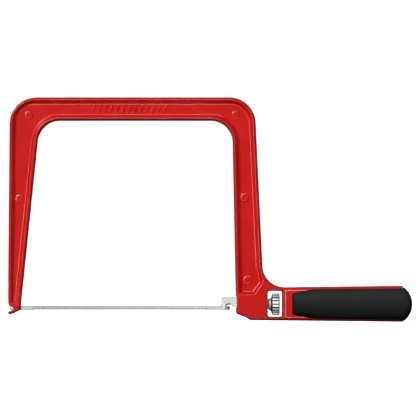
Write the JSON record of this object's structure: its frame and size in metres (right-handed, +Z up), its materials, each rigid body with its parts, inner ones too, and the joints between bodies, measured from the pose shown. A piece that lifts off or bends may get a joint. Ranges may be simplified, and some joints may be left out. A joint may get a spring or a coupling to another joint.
{
  "type": "bow saw",
  "caption": "Bow saw with a rigid deep-throat cast frame, a pinned blade on a sliding holder tensioned by a knurled thumb wheel, and a straight handle with a crowned black grip.",
  "frame": {"origin": "middle of the hand grip, on the axis of the tension rod and in the saw's mid-plane", "axes": "+X along the handle away from the blade, +Z up towards the frame's top bar, +Y to the saw's back face"},
  "size_m": [0.3846, 0.0236, 0.2135],
  "materials": {
    "red_enamel": "gloss",
    "black_grip": "matte",
    "zinc_plate": "satin",
    "bright_nickel": "polished",
    "blade_steel": "satin",
    "plain_steel": "satin"
  },
  "bodies": {
    "frame": {"frame": "red_enamel", "grip_front": "black_grip", "grip_back": "black_grip", "grip_screw_1": "zinc_plate", "grip_screw_2": "zinc_plate", "grip_screw_3": "zinc_plate", "thrust_washer": "plain_steel"},
    "tension_wheel": {"tension_wheel": "bright_nickel"},
    "blade_carriage": {"blade_holder": "zinc_plate", "draw_rod": "plain_steel", "rod_pin": "plain_steel", "blade": "blade_steel", "blade_pin_front": "plain_steel", "blade_pin_rear": "plain_steel"}
  },
  "joints": [
    {"name": "wheel_spin", "type": "hinge", "parent": "frame", "child": "tension_wheel", "pos_m": [-0.0731, 0, 0], "axis": [1, 0, 0], "range_deg": [0, 2700]},
    {"name": "blade_slide", "type": "slide", "parent": "frame", "child": "blade_carriage", "axis": [-1, 0, 0], "range_m": [0, 0.006]}
  ],
  "couplings": [
    {"joint": "blade_slide", "follows": "wheel_spin", "m_per_rad": 0.00012732}
  ]
}
